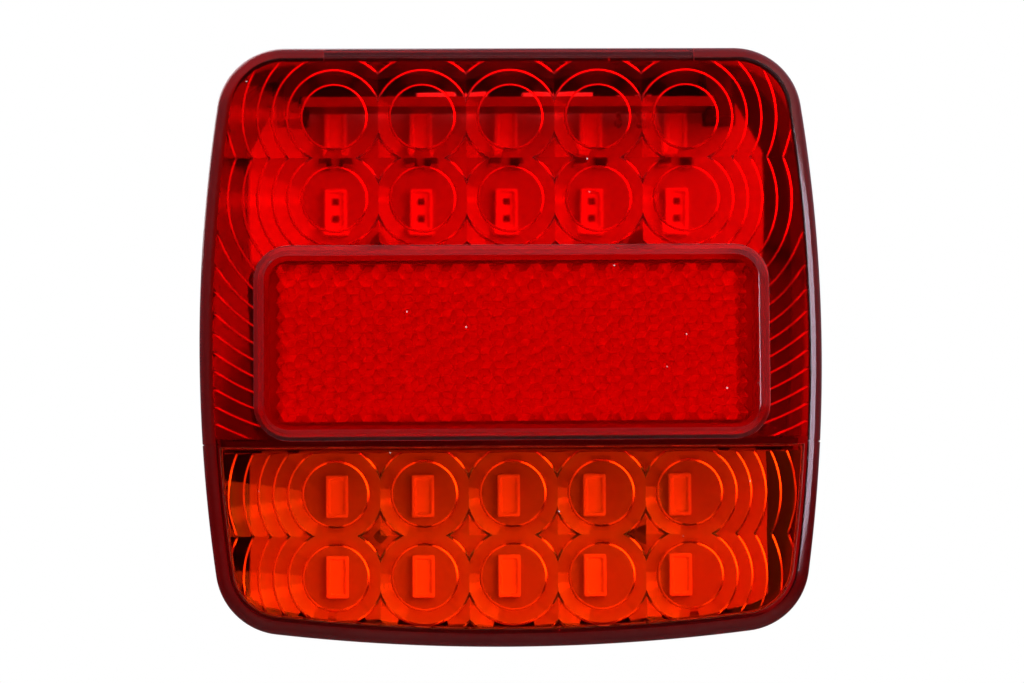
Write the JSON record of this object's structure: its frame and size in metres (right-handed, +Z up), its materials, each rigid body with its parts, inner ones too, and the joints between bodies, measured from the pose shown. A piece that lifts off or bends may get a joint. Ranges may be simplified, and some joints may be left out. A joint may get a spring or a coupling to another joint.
{
  "type": "tail light cluster",
  "caption": "Square combination tail lamp with red and amber windows full of ring optics, a raised reflex reflector across the middle, and threaded studs on its black back.",
  "frame": {"origin": "middle of the two mounting studs, on the flat mounting face at the back", "axes": "+Z up the lamp as it is mounted, with the amber window below; +X to the right as seen from in front; the lens faces -Y and the studs point along +Y"},
  "size_m": [0.1072, 0.0495, 0.1032],
  "materials": {
    "red_lens": "transparent red, polished",
    "amber_lens": "transparent amber, polished",
    "clear_lens": "clear, polished",
    "black_plastic": "fine grain black",
    "white_plastic": "fine grain white",
    "sealant": "matt",
    "grommet_rubber": "matt",
    "board": "white solder mask",
    "led_package": "white cup",
    "component_black": "moulded black",
    "tinned_brass": "tinned",
    "zinc_steel": "bright zinc"
  },
  "bodies": {
    "root": {"housing": "black_plastic", "lens_seal": "sealant", "lens_red": "red_lens", "lens_amber": "amber_lens", "reflex_panel": "red_lens", "reflex_backing": "white_plastic", "plate_window": "clear_lens", "main_board": "board", "plate_board": "board", "light_divider": "black_plastic", "cable_grommet": "grommet_rubber", "mounting_studs": "zinc_steel", "board_screws": "zinc_steel", "link_pins": "tinned_brass", "supply_diodes": "component_black", "resistors_red": "component_black", "resistors_amber": "component_black", "resistor_plate": "component_black", "led_red_1": "led_package", "led_red_2": "led_package", "led_red_3": "led_package", "led_red_4": "led_package", "led_red_5": "led_package", "led_red_6": "led_package", "led_red_7": "led_package", "led_red_8": "led_package", "led_red_9": "led_package", "led_red_10": "led_package", "led_amber_1": "led_package", "led_amber_2": "led_package", "led_amber_3": "led_package", "led_amber_4": "led_package", "led_amber_5": "led_package", "led_amber_6": "led_package", "led_amber_7": "led_package", "led_amber_8": "led_package", "led_amber_9": "led_package", "led_amber_10": "led_package", "led_plate_1": "led_package", "led_plate_2": "led_package", "led_plate_3": "led_package", "led_plate_4": "led_package"}
  },
  "joints": []
}
